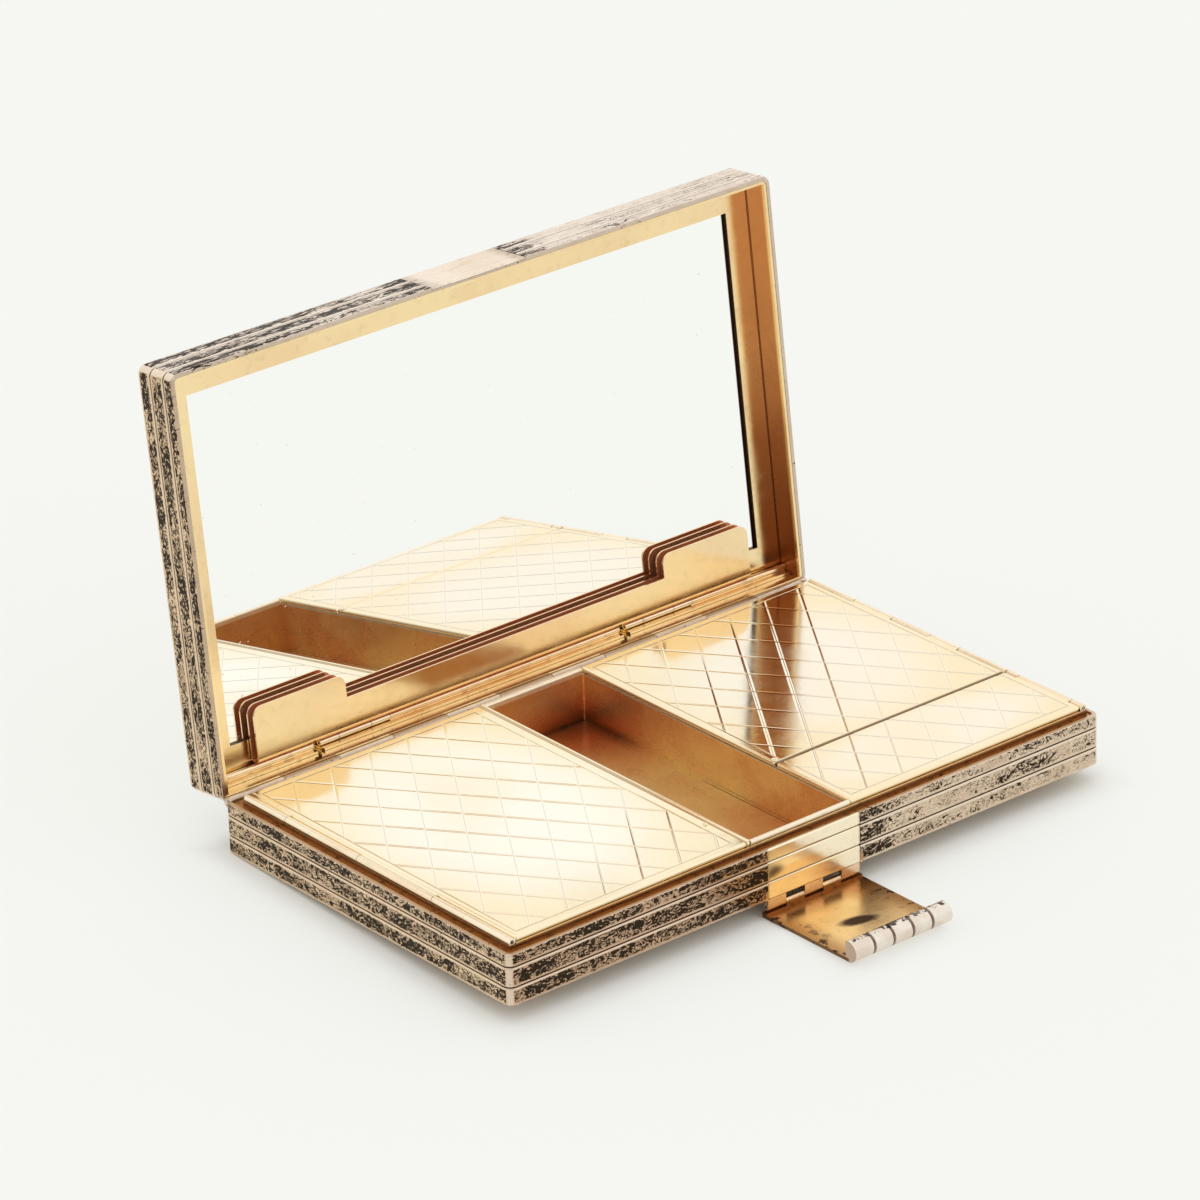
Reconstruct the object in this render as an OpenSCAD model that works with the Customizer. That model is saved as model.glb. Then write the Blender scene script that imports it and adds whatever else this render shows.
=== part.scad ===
// Flat vanity case shown open: two banded silver halves on a long hinge,
// three lidded compartments round a centre well, a mirror and a tilting
// comb holder in the upper half, and a hinged latch at the front.
// Millimetres, +Z up. The origin is the middle of the flat underside,
// X runs along the hinge and the latch faces -Y.

/* [Case] */
// Length along the hinge
case_length = 140; // [120:5:160]
// Depth from latch side to hinge side
case_depth = 82; // [74:2:94]
// Height of the lower half
base_height = 10; // [9:0.5:13]
// Height of the upper half
lid_height = 10; // [9.5:0.5:13]
// Radius of the upright corners
corner_radius = 1.8; // [1.4:0.2:2.4]
// Thickness of the banded silver walls
wall_thickness = 0.9; // [0.8:0.1:1.1]
// Thickness of the outer top and bottom plates
plate_thickness = 0.8; // [0.7:0.1:1]
// Angle between the two halves when open
open_angle = 96; // [88:1:110]

/* [Bands] */
// Share of a wall's height taken by the narrow band at the rim
narrow_band_share = 0.24; // [0.18:0.01:0.3]
// Share of a wall's height taken by the middle band
middle_band_share = 0.40; // [0.34:0.01:0.44]
// Radius of the rounded edges of each band
band_edge = 0.3; // [0.2:0.05:0.35]
// Width of the groove between two bands
band_groove = 0.14; // [0.1:0.02:0.3]

/* [Compartments] */
// Width of the open centre well
well_width = 23.5; // [16:0.5:28]
// Distance of the well's middle from the case's middle
well_offset = -1.4; // [-4:0.2:4]
// Depth of the small front compartment on the right
front_box_depth = 20.6; // [16:0.2:26]
// Gap between the raised inner frame and the shut upper half's lining
frame_clearance = 0.3; // [0.25:0.05:0.6]
// Height of the raised inner frame above the rim
frame_rise = 0.95; // [0.8:0.05:1.1]
// Thickness of the engraved compartment lids
leaf_thickness = 1; // [0.9:0.1:1.1]

/* [Mirror and comb holder] */
// Width of the gilt frame round the mirror
mirror_border = 5.3; // [4.5:0.1:7]
// Depth from the upper half's rim to the mirror frame
mirror_depth = 5.6; // [5.2:0.1:6]
// Distance from each end of the comb holder to the lining beside it
comb_end_gap = 9.5; // [6:0.5:14]
// Height of the comb holder's low bar
comb_bar_height = 6.4; // [5:0.2:8]
// Height of the tabs at its ends
comb_tab_height = 11; // [9:0.2:13]
// Length of each tab
comb_tab_length = 21; // [14:1:26]
// Outer thickness of the folded comb holder
comb_thickness = 2.3; // [2:0.1:2.4]

/* [Latch] */
// Width of the latch flap
latch_width = 22.8; // [16:0.2:28]
// Radius of the ribbed roll on the flap's end
roll_radius = 2; // [1.7:0.1:2.2]
// Number of ring grooves round the roll
roll_groove_count = 4; // [2:1:6]

/* [Output] */
// Piece to show

/* [Hidden] */
$fn = 64;
fit = 0.05;
rim_gap = 0.1;
silver = [0.72, 0.67, 0.6];
gilt = [0.93, 0.75, 0.42];
copper = [0.62, 0.38, 0.2];
glass = [0.9, 0.92, 0.94];
board = [0.42, 0.38, 0.34];

half_length = case_length / 2;
half_depth = case_depth / 2;
liner_thickness = 0.55;
lid_wall = wall_thickness + fit + liner_thickness;

// main hinge
hinge_radius = 0.85;
hinge_bore = 0.45;
hinge_clearance = 0.12;
pin_clearance = 0.03;
hinge_inset = 0.35;
hinge_length = case_length - 1.6;
knuckle_count = 11;
knuckle_pitch = hinge_length / knuckle_count;
knuckle_gap = 0.1;
bearer_radius = 1.35;
bearer_gap_angle = 2.5;
bearer_end_angle = 118;
hinge_y = half_depth - hinge_inset;
hinge_z = base_height - hinge_inset;

// inner frame of the lower half
sheet = 0.4;
frame_wall = 0.7;
divider = 0.8;
ledge_drop = 0.3;
ledge_thickness = 0.6;
back_ledge = 3.6;
frame_top = base_height + frame_rise;
frame_inset = lid_wall + frame_clearance;
frame_left = -half_length + frame_inset;
frame_right = half_length - frame_inset;
frame_front = -half_depth + frame_inset;
frame_back = half_depth - back_ledge;
pocket_left = frame_left + frame_wall;
pocket_right = frame_right - frame_wall;
pocket_front = frame_front + frame_wall;
pocket_back = frame_back - frame_wall;
well_left = well_offset - well_width / 2;
well_right = well_offset + well_width / 2;
well_pocket_left = well_left - sheet - fit;
well_pocket_right = well_right + sheet + fit;
side_pocket_left = well_pocket_left - divider;
side_pocket_right = well_pocket_right + divider;
split_y = frame_front + front_box_depth;
floor_top = plate_thickness + fit;

// compartment lids
leaf_bottom = frame_top + fit;
leaf_top = leaf_bottom + leaf_thickness;
leaf_edge = leaf_thickness / 2;
leaf_gap = 0.12;
leaf_hinge_radius = 0.75;
leaf_hinge_bore = 0.4;
leaf_hinge_x = half_length - frame_inset - leaf_hinge_radius;
leaf_hinge_z = leaf_top - leaf_hinge_radius;
leaf_hinge_clearance = 0.1;
leaf_front = frame_front + 0.1;
leaf_back = frame_back - 0.3;
lip_radius = 0.45;
bead_radius = 0.3;
bead_rise = 0.2;
bead_groove_radius = 0.35;
pip_radius = 0.45;
pip_from_edge = 1.8;
pip_from_front = 10.4;
ring_radius = 0.42;
ring_wire = 0.24;
ring_from_edge = 0.75;
ring_from_split = 1.1;

// upper half, drawn closed and turned open
lid_bottom = base_height + rim_gap;
lid_top = base_height + lid_height;
mirror_plate_z = lid_bottom + mirror_depth;
mirror_plate_thickness = 0.7;
mirror_glass_thickness = 1;
mirror_gap = 0.04;
liner_half_length = half_length - wall_thickness - fit;
liner_half_depth = half_depth - wall_thickness - fit;
comb_back = half_depth - lid_wall;

// comb holder, its hinge and its bearer bar
comb_sheet = 0.4;
comb_length = 2 * (half_length - lid_wall - comb_end_gap);
comb_hinge_radius = 0.62;
comb_hinge_bore = 0.32;
comb_pin_radius = 0.29;
comb_bar_top = 0.5;
comb_axis_drop = 1.1;
comb_plate_gap = 0.2;
comb_foot_gap = 0.12;
comb_hinge_from_end = 22.6;
comb_axis_y = comb_back - comb_bar_top - comb_hinge_radius - fit;
comb_axis_z = mirror_plate_z - comb_axis_drop;
comb_bend = comb_thickness / 2;
comb_z = mirror_plate_z - comb_plate_gap - comb_bend;
comb_foot_y = comb_axis_y - comb_hinge_radius - comb_foot_gap;
comb_hinge_offset = comb_length / 2 - comb_hinge_from_end;
comb_middle_knuckle = 7.5;
comb_outer_knuckle = 4.4;
comb_notch = 1.6;
comb_bar_front = 2.7;

// catch panels and the latch, whose flap stands clear of them when shut
catch_width = latch_width - 1;
catch_depth = 0.55;
catch_gap = 0.06;
latch_knuckle_radius = 0.6;
latch_bore = 0.32;
latch_setback = 0.9;
latch_drop = 1.8;
latch_axis_y = -half_depth + latch_setback;
latch_axis_z = -latch_drop;
latch_knuckle_count = 5;
latch_knuckle_gap = 0.05;
latch_pitch = catch_width / latch_knuckle_count;
latch_leaf_thickness = 0.35;
latch_leaf_back = latch_axis_y + 1.2;
latch_tab_back = 0.2;
flap_thickness = 0.68;
flap_stand_off = 0.24;
flap_top = latch_axis_z - latch_setback - flap_stand_off;
flap_bottom = flap_top - flap_thickness;
flap_edge_y = latch_axis_y + 0.4;
flap_bar_depth = 1.23;
flap_bar_height = 0.34;

// roll on the flap, flat where it hooks over the upper half
roll_lift = 0.2;
roll_back = 0.8;
roll_y = latch_axis_y + latch_axis_z - lid_top - roll_lift - roll_back;
roll_z = flap_bottom + roll_radius;
roll_groove_radius = 0.3;
roll_groove_lift = 0.08;

// Forms that several pieces share

// one raised band of a wall with rounded edges, drawn as its cross-section
module band(bottom, top) {
    inner = wall_thickness - band_edge;
    translate([0, bottom + band_edge]) square([wall_thickness, top - bottom - 2 * band_edge]);
    for (z = [bottom + band_edge, top - band_edge])
        translate([inner, z]) circle(band_edge);
}

// cross-section of a wall whose rim is at the top
module wall_section(height) {
    narrow_bottom = height * (1 - narrow_band_share);
    middle_bottom = narrow_bottom - height * middle_band_share;
    band(0, middle_bottom - band_groove);
    band(middle_bottom, narrow_bottom - band_groove);
    band(narrow_bottom, height);
    square([wall_thickness - band_edge, height]);
}

module wall_side(distance, length, height) {
    translate([distance - wall_thickness, length / 2, 0])
        rotate([90, 0, 0]) linear_extrude(length) wall_section(height);
}

module wall_corner(height) {
    rotate_extrude(angle = 90)
        translate([corner_radius - wall_thickness, 0]) wall_section(height);
}

// banded wall round all four sides, rim up
module banded_wall(height) {
    straight_x = case_length - 2 * corner_radius;
    straight_y = case_depth - 2 * corner_radius;
    for (side = [0, 180]) {
        rotate(side) wall_side(half_length, straight_y, height);
        rotate(side + 90) wall_side(half_depth, straight_x, height);
    }
    for (sx = [-1, 1], sy = [-1, 1])
        translate([sx * straight_x / 2, sy * straight_y / 2, 0])
            rotate(sx > 0 ? (sy > 0 ? 0 : 270) : (sy > 0 ? 90 : 180)) wall_corner(height);
}

// plate with rounded upright corners, centred on the axis
module rounded_plate(length, depth, radius, thickness) {
    linear_extrude(thickness) {
        square([length - 2 * radius, depth], center = true);
        square([length, depth - 2 * radius], center = true);
        for (sx = [-1, 1], sy = [-1, 1])
            translate([sx * (length / 2 - radius), sy * (depth / 2 - radius)]) circle(radius);
    }
}

// flat outer plate of one half, let a little way into its walls
module outer_plate() {
    overlap = 0.1;
    rounded_plate(case_length - 2 * (wall_thickness - overlap),
                  case_depth - 2 * (wall_thickness - overlap),
                  corner_radius - wall_thickness + overlap, plate_thickness);
}

module block(x0, x1, y0, y1, z0, z1) {
    translate([x0, y0, z0]) cube([x1 - x0, y1 - y0, z1 - z0]);
}

module rod_x(x0, x1, y, z, radius) {
    translate([x0, y, z]) rotate([0, 90, 0]) cylinder(h = x1 - x0, r = radius);
}

module rod_y(y0, y1, x, z, radius) {
    translate([x, y0, z]) rotate([-90, 0, 0]) cylinder(h = y1 - y0, r = radius);
}

// space that one run of knuckles keeps free along the main hinge
module hinge_space(x0, x1, radius) {
    rod_x(x0, x1, hinge_y, hinge_z, radius);
}

// start of one knuckle of the main hinge, counted from the left
function knuckle_start(index) = -hinge_length / 2 + index * knuckle_pitch;

module main_knuckles(first) {
    for (index = [first:2:knuckle_count - 1])
        difference() {
            hinge_space(knuckle_start(index) + knuckle_gap / 2,
                        knuckle_start(index + 1) - knuckle_gap / 2, hinge_radius);
            hinge_space(-half_length, half_length, hinge_bore);
        }
}

// room for the hinge in a wall: close round its own knuckles (first),
// wider where the other half's knuckles turn
module hinge_cut(first) {
    hinge_space(-half_length - 1, half_length + 1, hinge_radius + 0.02);
    for (index = [first:2:knuckle_count - 1])
        hinge_space(knuckle_start(index) - knuckle_gap,
                    knuckle_start(index + 1) + knuckle_gap, hinge_radius + hinge_clearance);
}

// curved lip along the hinge that meets its partner as the open stop
module bearer(from_angle, to_angle) {
    sweep = to_angle - from_angle;
    reach = 2 * bearer_radius;
    translate([-hinge_length / 2, hinge_y, hinge_z]) rotate([90, 0, 90]) rotate(from_angle)
        linear_extrude(hinge_length) intersection() {
            circle(bearer_radius);
            polygon([[0, 0], [reach, 0], [reach, reach * tan(sweep / 2)],
                     [reach * cos(sweep), reach * sin(sweep)]]);
        }
}

// turns a piece drawn closed to its place in the open upper half
module open_lid() {
    translate([0, hinge_y, hinge_z]) rotate([-open_angle, 0, 0])
        translate([0, -hinge_y, -hinge_z]) children();
}

// Lower half

module base_case() {
    color(silver) difference() {
        union() {
            banded_wall(base_height);
            outer_plate();
            bearer(-bearer_end_angle, -open_angle / 2 - bearer_gap_angle / 2);
        }
        hinge_cut(0);
        catch_room(0, base_height);
        block(-latch_width / 2 - fit, latch_width / 2 + fit, -half_depth - 1,
              latch_leaf_back + fit, -1, latch_leaf_thickness + fit);
    }
}

module catch_room(z0, z1) {
    block(-catch_width / 2 - catch_gap, catch_width / 2 + catch_gap,
          -half_depth - 1, -half_depth + catch_depth, z0 - 1, z1 + 1);
}

// banded gilt plate under the latch, let into a front wall
module catch_plate(height) {
    intersection() {
        rotate(-90) wall_side(half_depth - 0.08, catch_width, height);
        block(-catch_width / 2, catch_width / 2, -half_depth,
              -half_depth + catch_depth - catch_gap, 0, height);
    }
}

module base_catch_plate() {
    color(gilt) catch_plate(base_height);
}

module inner_frame() {
    color(gilt) difference() {
        union() {
            translate([0, 0, base_height - ledge_drop - ledge_thickness])
                rounded_plate(2 * liner_half_length, 2 * liner_half_depth,
                              corner_radius - wall_thickness - fit + 0.05, ledge_thickness);
            block(frame_left, frame_right, frame_front, frame_back, floor_top, frame_top);
        }
        block(pocket_left, side_pocket_left, pocket_front, pocket_back, 0, frame_top + 1);
        block(well_pocket_left, well_pocket_right, pocket_front, pocket_back, 0, frame_top + 1);
        block(side_pocket_right, pocket_right, split_y + divider / 2, pocket_back,
              0, frame_top + 1);
        block(side_pocket_right, pocket_right, pocket_front, split_y - divider / 2,
              0, frame_top + 1);
        hinge_space(-half_length, half_length, hinge_radius + hinge_clearance);
        for (side = [-1, 1])
            rod_y(frame_front - 1, frame_back + 1, side * leaf_hinge_x, leaf_hinge_z,
                  leaf_hinge_radius + leaf_hinge_clearance);
    }
}

// open box folded from sheet that lines one pocket of the frame
module sheet_box(x0, x1, y0, y1) {
    difference() {
        block(x0 + fit, x1 - fit, y0 + fit, y1 - fit, floor_top, frame_top - 0.1);
        block(x0 + fit + sheet, x1 - fit - sheet, y0 + fit + sheet, y1 - fit - sheet,
              floor_top + sheet, frame_top + 1);
        for (side = [-1, 1])
            rod_y(frame_front - 1, frame_back + 1, side * leaf_hinge_x, leaf_hinge_z,
                  leaf_hinge_radius + leaf_hinge_clearance);
    }
}

module left_compartment() {
    color(gilt) sheet_box(pocket_left, side_pocket_left, pocket_front, pocket_back);
}

// rounded lip across one end of the well, level with the lids beside it
module well_lip(y0, y1) {
    x0 = well_left + leaf_gap;
    x1 = well_right - leaf_gap;
    block(x0, x1, y0 + lip_radius, y1 - lip_radius, leaf_bottom, leaf_bottom + 2 * lip_radius);
    for (y = [y0 + lip_radius, y1 - lip_radius])
        rod_x(x0, x1, y, leaf_bottom + lip_radius, lip_radius);
}

// sheet box of the well, turned up into a lip at each end
module centre_well() {
    front = pocket_front + fit;
    back = pocket_back - fit;
    color(copper) {
        sheet_box(well_pocket_left, well_pocket_right, pocket_front, pocket_back);
        well_lip(leaf_front, front + sheet);
        well_lip(back - sheet, frame_back);
        for (y = [front, back - sheet])
            block(well_left + leaf_gap, well_right - leaf_gap, y, y + sheet,
                  frame_top - 1, leaf_bottom + lip_radius);
    }
}

module rear_compartment() {
    color(gilt) sheet_box(side_pocket_right, pocket_right, split_y + divider / 2, pocket_back);
}

module front_compartment() {
    color(gilt) sheet_box(side_pocket_right, pocket_right, pocket_front, split_y - divider / 2);
}

module base_hinge_knuckles() {
    color(silver) main_knuckles(1);
}

module main_hinge_pin() {
    color(silver) hinge_space(-hinge_length / 2, hinge_length / 2, hinge_bore - pin_clearance);
}

// Lids of the compartments

// knuckle of a compartment lid's hinge between two stations
module leaf_knuckle(side, y0, y1) {
    difference() {
        rod_y(y0 + knuckle_gap / 2, y1 - knuckle_gap / 2, side * leaf_hinge_x, leaf_hinge_z,
              leaf_hinge_radius);
        rod_y(y0 - 1, y1 + 1, side * leaf_hinge_x, leaf_hinge_z, leaf_hinge_bore);
    }
}

// stations of the hinge knuckles, as parts of the lid's depth from the front
left_stations = [0, 0.285, 0.565, 0.84, 1];
rear_stations = [0, 0.235, 0.38, 0.57, 0.765, 1];
front_stations = [0, 0.15, 0.85, 1];
left_span = [leaf_front, leaf_back];
rear_span = [split_y + leaf_gap, leaf_back];
front_span = [leaf_front, split_y - leaf_gap];

function station(span, part) = span[0] + (span[1] - span[0]) * part;

module leaf_knuckle_run(side, span, stations, first) {
    for (index = [first:2:len(stations) - 2])
        leaf_knuckle(side, station(span, stations[index]), station(span, stations[index + 1]));
}

// plate with half-round edges
module soft_plate(x0, x1, y0, y1) {
    z = leaf_bottom + leaf_edge;
    block(x0 + leaf_edge, x1 - leaf_edge, y0 + leaf_edge, y1 - leaf_edge, leaf_bottom, leaf_top);
    rod_x(x0 + leaf_edge, x1 - leaf_edge, y0 + leaf_edge, z, leaf_edge);
    rod_x(x0 + leaf_edge, x1 - leaf_edge, y1 - leaf_edge, z, leaf_edge);
    rod_y(y0 + leaf_edge, y1 - leaf_edge, x0 + leaf_edge, z, leaf_edge);
    rod_y(y0 + leaf_edge, y1 - leaf_edge, x1 - leaf_edge, z, leaf_edge);
    for (x = [x0 + leaf_edge, x1 - leaf_edge], y = [y0 + leaf_edge, y1 - leaf_edge])
        translate([x, y, z]) sphere(leaf_edge);
}

// one lid with its hinge at the right, its tongues reaching its own knuckles
module leaf_plate(x_inner, span, stations, first) {
    outer = leaf_hinge_x - leaf_hinge_radius - leaf_hinge_clearance;
    inset = 0.15;
    soft_plate(x_inner, outer, span[0], span[1]);
    difference() {
        for (index = [first:2:len(stations) - 2])
            block(outer - leaf_thickness, leaf_hinge_x,
                  station(span, stations[index]) + knuckle_gap,
                  station(span, stations[index + 1]) - knuckle_gap,
                  leaf_bottom + inset, leaf_top - inset);
        rod_y(span[0] - 1, span[1] + 1, leaf_hinge_x, leaf_hinge_z, leaf_hinge_radius + 0.02);
    }
}

module left_frame_knuckles() {
    color(gilt) leaf_knuckle_run(-1, left_span, left_stations, 0);
}

module left_lid_knuckles() {
    color(gilt) leaf_knuckle_run(-1, left_span, left_stations, 1);
}

module left_lid_pin() {
    color(silver) rod_y(left_span[0] + 0.1, left_span[1] - 0.1, -leaf_hinge_x, leaf_hinge_z,
                        leaf_hinge_bore - pin_clearance);
}

module right_frame_knuckles() {
    color(gilt) {
        leaf_knuckle_run(1, rear_span, rear_stations, 0);
        leaf_knuckle_run(1, front_span, front_stations, 0);
    }
}

module rear_lid_knuckles() {
    color(gilt) leaf_knuckle_run(1, rear_span, rear_stations, 1);
}

module front_lid_knuckles() {
    color(gilt) leaf_knuckle_run(1, front_span, front_stations, 1);
}

module right_lid_pin() {
    color(silver) rod_y(front_span[0] + 0.1, rear_span[1] - 0.1, leaf_hinge_x, leaf_hinge_z,
                        leaf_hinge_bore - pin_clearance);
}

// the left lid has a raised bead along the well, with a groove beside it
module left_lid() {
    bead_x = well_left - bead_radius;
    groove_x = bead_x - bead_radius - bead_groove_radius;
    front = left_span[0] + leaf_edge;
    back = left_span[1] - leaf_edge;
    color(gilt) {
        difference() {
            mirror([1, 0, 0]) leaf_plate(-well_left, left_span, left_stations, 1);
            rod_y(left_span[0] - 1, left_span[1] + 1, groove_x,
                  leaf_top + bead_groove_radius / 2, bead_groove_radius);
        }
        rod_y(front, back, bead_x, leaf_top + bead_rise - bead_radius, bead_radius);
        for (y = [front, back])
            translate([bead_x, y, leaf_top + bead_rise - bead_radius]) sphere(bead_radius);
    }
}

module rear_lid() {
    color(gilt) leaf_plate(well_right, rear_span, rear_stations, 1);
}

module front_lid() {
    color(gilt) leaf_plate(well_right, front_span, front_stations, 1);
}

// small raised pip near the left lid's inner edge
module left_lid_pip() {
    color(gilt) translate([well_left - pip_from_edge, frame_front + pip_from_front, leaf_top])
        intersection() {
            sphere(pip_radius);
            block(-1, 1, -1, 1, 0, 1);
        }
}

// ring that lifts the rear lid, at its inner front corner
module rear_lid_catch() {
    color(gilt) translate([well_right + ring_from_edge, split_y + ring_from_split, leaf_top])
        rotate_extrude() translate([ring_radius, 0]) intersection() {
            circle(ring_wire);
            translate([-ring_wire, 0]) square(2 * ring_wire);
        }
}

// Upper half

module lid_case() {
    color(silver) open_lid() difference() {
        union() {
            translate([0, 0, lid_top]) mirror([0, 0, 1]) banded_wall(lid_height - rim_gap);
            translate([0, 0, lid_top - plate_thickness]) outer_plate();
            bearer(open_angle / 2 + bearer_gap_angle / 2, bearer_end_angle);
        }
        hinge_cut(1);
        catch_room(lid_bottom, lid_top);
    }
}

module lid_catch_plate() {
    color(gilt) open_lid() translate([0, 0, lid_top]) mirror([0, 0, 1])
        catch_plate(lid_height - rim_gap);
}

// gilt lining of the walls with the frame plate round the mirror
module mirror_frame() {
    plate_top = mirror_plate_z + mirror_plate_thickness;
    inner_half_length = half_length - lid_wall;
    inner_half_depth = half_depth - lid_wall;
    color(gilt) open_lid() difference() {
        translate([0, 0, lid_bottom + 0.05])
            rounded_plate(2 * liner_half_length, 2 * liner_half_depth,
                          corner_radius - wall_thickness, plate_top - lid_bottom - 0.05);
        block(-inner_half_length, inner_half_length, -inner_half_depth, inner_half_depth,
              0, mirror_plate_z);
        block(-inner_half_length + mirror_border, inner_half_length - mirror_border,
              -inner_half_depth + mirror_border, inner_half_depth - mirror_border - 1,
              0, lid_top);
        hinge_space(-half_length, half_length, hinge_radius + hinge_clearance);
    }
}

module mirror_pane(inset, z0, z1) {
    block(-liner_half_length + inset, liner_half_length - inset,
          -liner_half_depth + inset, liner_half_depth - inset, z0, z1);
}

module mirror_glass() {
    z0 = mirror_plate_z + mirror_plate_thickness + mirror_gap;
    color(glass) open_lid() mirror_pane(1.2, z0, z0 + mirror_glass_thickness);
}

module mirror_backing() {
    z0 = mirror_plate_z + mirror_plate_thickness + mirror_glass_thickness + 2 * mirror_gap;
    color(board) open_lid() mirror_pane(1.2, z0, lid_top - plate_thickness - mirror_gap);
}

module lid_hinge_knuckles() {
    color(silver) open_lid() main_knuckles(0);
}

// Comb holder

// start and end of one knuckle run of the comb holder's hinges
function comb_run(side, index) =
    let (edge = comb_middle_knuckle / 2, far = edge + comb_outer_knuckle)
    index == 0 ? [side * comb_hinge_offset - far, side * comb_hinge_offset - edge]
    : index == 1 ? [side * comb_hinge_offset - edge, side * comb_hinge_offset + edge]
    : [side * comb_hinge_offset + edge, side * comb_hinge_offset + far];

module comb_knuckle(run) {
    difference() {
        rod_x(run[0] + 0.06, run[1] - 0.06, comb_axis_y, comb_axis_z, comb_hinge_radius);
        rod_x(run[0] - 1, run[1] + 1, comb_axis_y, comb_axis_z, comb_hinge_bore);
    }
}

// low bar along the lid's foot with a rod on it, cut away at the hinges
module comb_bearer() {
    end = half_length - lid_wall - 0.1;
    color(gilt) open_lid() difference() {
        union() {
            block(-end, end, comb_back - comb_bar_top, comb_back - 0.05,
                  lid_bottom + comb_bar_front, mirror_plate_z - 0.05);
            rod_x(-end, end, comb_axis_y, comb_axis_z, comb_hinge_radius);
            block(-end, end, comb_axis_y, comb_back - comb_bar_top,
                  comb_axis_z - 0.3, comb_axis_z + 0.3);
        }
        for (side = [-1, 1]) {
            reach = comb_middle_knuckle / 2 + comb_outer_knuckle;
            centre = side * comb_hinge_offset;
            block(centre - reach - comb_notch, centre + reach, comb_axis_y - 2,
                  comb_back - comb_bar_top, lid_bottom, lid_top);
            block(centre - reach - comb_notch, centre - reach, comb_axis_y - 2,
                  comb_back + 1, lid_bottom, lid_top);
        }
    }
}

module comb_fixed_knuckles() {
    color(gilt) open_lid() for (side = [-1, 1]) {
        run = comb_run(side, 1);
        comb_knuckle(run);
    }
}

module comb_moving_knuckles() {
    color(gilt) open_lid() for (side = [-1, 1], index = [0, 2])
        comb_knuckle(comb_run(side, index));
}

module comb_pins() {
    reach = comb_middle_knuckle / 2 + comb_outer_knuckle - 0.2;
    color(silver) open_lid() for (side = [-1, 1])
        rod_x(side * comb_hinge_offset - reach, side * comb_hinge_offset + reach,
              comb_axis_y, comb_axis_z, comb_pin_radius);
}

// outline of one leaf: a low bar with a tall tab at each end
module comb_outline() {
    tab_radius = 2;
    tab_half = comb_tab_length / 2;
    translate([-comb_length / 2, 0]) square([comb_length, comb_bar_height]);
    for (side = [-1, 1]) translate([side * (comb_length / 2 - tab_half), 0]) {
        translate([-tab_half, 0]) square([comb_tab_length, comb_tab_height - tab_radius]);
        translate([tab_radius - tab_half, 0])
            square([comb_tab_length - 2 * tab_radius, comb_tab_height]);
        for (edge = [-1, 1])
            translate([edge * (tab_half - tab_radius), comb_tab_height - tab_radius])
                circle(tab_radius);
    }
}

// sheet folded into a narrow trough, drawn closed with its foot at the hinge
module comb_holder() {
    color(gilt) open_lid() {
        for (z = [comb_z - comb_bend, comb_z + comb_bend - comb_sheet])
            translate([0, comb_foot_y, z]) mirror([0, 1, 0]) difference() {
                linear_extrude(comb_sheet) comb_outline();
                block(-comb_length, comb_length, -1, comb_bend, -1, 1);
            }
        translate([0, comb_foot_y - comb_bend, comb_z]) difference() {
            rod_x(-comb_length / 2, comb_length / 2, 0, 0, comb_bend);
            rod_x(-comb_length, comb_length, 0, 0, comb_bend - comb_sheet);
            block(-comb_length, comb_length, -3, 0, -3, 3);
        }
    }
}

// Latch

// start and end of one knuckle of the latch's hinge, counted from the left
function latch_run(index) =
    let (start = -catch_width / 2 + index * latch_pitch)
    [start + latch_knuckle_gap, start + latch_pitch - latch_knuckle_gap];

module latch_rod(x0, x1, radius) {
    rod_x(x0, x1, latch_axis_y, latch_axis_z, radius);
}

// hinge leaf let into the underside, its two ears beside the gilt panel
// level with the wall, with the three knuckles that hang from it
module latch_base_knuckles() {
    leaf_front_y = -half_depth + catch_depth;
    color(gilt) difference() {
        union() {
            difference() {
                block(-latch_width / 2, latch_width / 2, -half_depth + 2 * fit,
                      latch_leaf_back, 0, latch_leaf_thickness);
                catch_room(0, base_height);
            }
            for (index = [0:2:latch_knuckle_count - 1]) {
                run = latch_run(index);
                latch_rod(run[0], run[1], latch_knuckle_radius);
                block(run[0], run[1], latch_axis_y - latch_knuckle_radius,
                      latch_axis_y + latch_tab_back, latch_axis_z, -fit);
                block(run[0], run[1], leaf_front_y, latch_axis_y + latch_tab_back,
                      latch_axis_z, latch_leaf_thickness / 2);
            }
        }
        latch_rod(-latch_width, latch_width, latch_bore);
    }
}

module latch_flap_knuckles() {
    color(gilt) for (index = [1:2:latch_knuckle_count - 1]) {
        run = latch_run(index);
        difference() {
            latch_rod(run[0], run[1], latch_knuckle_radius);
            latch_rod(-latch_width, latch_width, latch_bore);
        }
    }
}

module latch_pin() {
    color(silver) latch_rod(-catch_width / 2 + 0.1, catch_width / 2 - 0.1,
                            latch_bore - pin_clearance);
}

// flap with a bar along its hinge edge and webs up to its own knuckles
module latch_flap() {
    color(gilt) difference() {
        union() {
            block(-latch_width / 2, latch_width / 2, roll_y, flap_edge_y, flap_bottom, flap_top);
            block(-latch_width / 2, latch_width / 2, flap_edge_y - flap_bar_depth, flap_edge_y,
                  flap_bottom, flap_top + flap_bar_height);
            for (index = [1:2:latch_knuckle_count - 1]) {
                run = latch_run(index);
                block(run[0], run[1], latch_axis_y - latch_knuckle_radius,
                      latch_axis_y + latch_tab_back, flap_bottom, latch_axis_z);
            }
        }
        latch_rod(-latch_width, latch_width, latch_knuckle_radius + 0.02);
    }
}

// cross-section of the roll round its axis, the hinge to the right
module roll_section() {
    seat = flap_top + 0.02 - roll_z;
    difference() {
        circle(roll_radius);
        translate([roll_back, -roll_radius]) square([roll_radius, 2 * roll_radius]);
        translate([-0.02, -roll_radius]) square([roll_radius, seat + roll_radius]);
    }
}

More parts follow.
